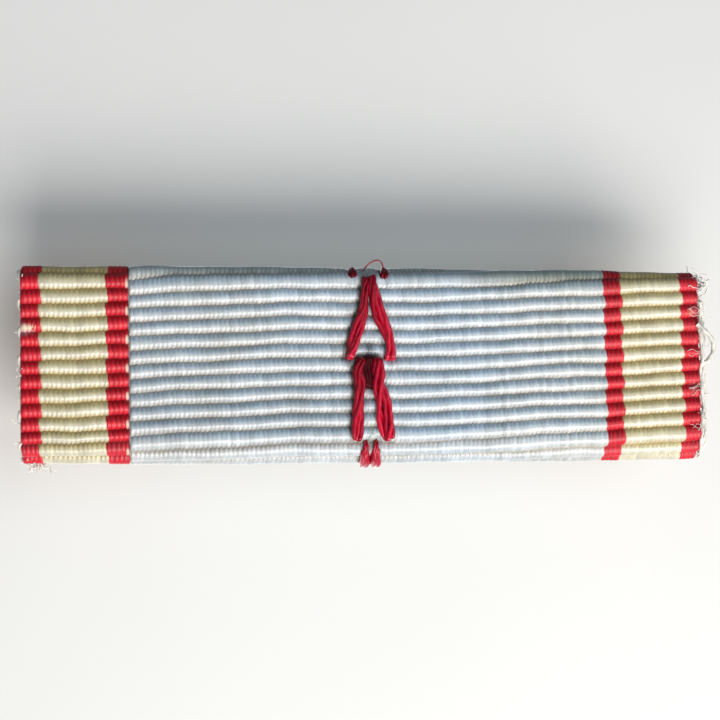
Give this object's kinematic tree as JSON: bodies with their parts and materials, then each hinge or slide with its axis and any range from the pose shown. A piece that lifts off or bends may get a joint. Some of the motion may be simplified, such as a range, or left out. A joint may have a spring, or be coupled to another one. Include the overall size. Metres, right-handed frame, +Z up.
{
  "type": "medal ribbon bar",
  "caption": "Pin-back medal ribbon bar: ribbed silk ribbon with red, cream and pale blue bands and stitched red chevrons, wrapped on a padded brass carrier with hinged pin and safety catch.",
  "frame": {"origin": "on the axis of the closed brooch pin, at the middle of the bar's length and height", "axes": "+X along the bar to the viewer's right, -Y out of the ribbon's front, +Z up as worn"},
  "size_m": [0.0348, 0.0063, 0.0102],
  "materials": {
    "brass_sheet": "rolled sheet, dulled",
    "brass_fittings": "stamped, rubbed bright on edges",
    "steel_pin": "drawn wire, polished at the point",
    "steel_rivet": "peened",
    "nickel_lock": "nickel plated, worn",
    "felt": "pressed wool felt",
    "ribbon_red": "ribbed silk",
    "ribbon_cream": "ribbed silk",
    "ribbon_blue": "ribbed silk",
    "red_thread": "stranded floss"
  },
  "bodies": {
    "bar": {"carrier_plate": "brass_sheet", "padding_felt": "felt", "ribbon_red_edge_left": "ribbon_red", "ribbon_cream_band_left": "ribbon_cream", "ribbon_red_inner_left": "ribbon_red", "ribbon_blue_field": "ribbon_blue", "ribbon_red_inner_right": "ribbon_red", "ribbon_cream_band_right": "ribbon_cream", "ribbon_red_edge_right": "ribbon_red", "chevron_upper": "red_thread", "chevron_lower": "red_thread", "chevron_ends_top": "red_thread", "chevron_ends_bottom": "red_thread", "hinge_bracket": "brass_fittings", "hinge_rivet": "steel_rivet", "catch_housing": "brass_fittings"},
    "pin": {"pin_wire": "steel_pin"},
    "lock": {"catch_lock": "nickel_lock"}
  },
  "joints": [
    {"name": "pin_hinge", "type": "hinge", "parent": "bar", "child": "pin", "pos_m": [-0.0132, 0, 0], "axis": [0, 0, 1], "range_deg": [0, 75]},
    {"name": "catch_turn", "type": "hinge", "parent": "bar", "child": "lock", "pos_m": [0.0126, 0, 0], "axis": [-1, 0, 0], "range_deg": [0, 90]}
  ]
}
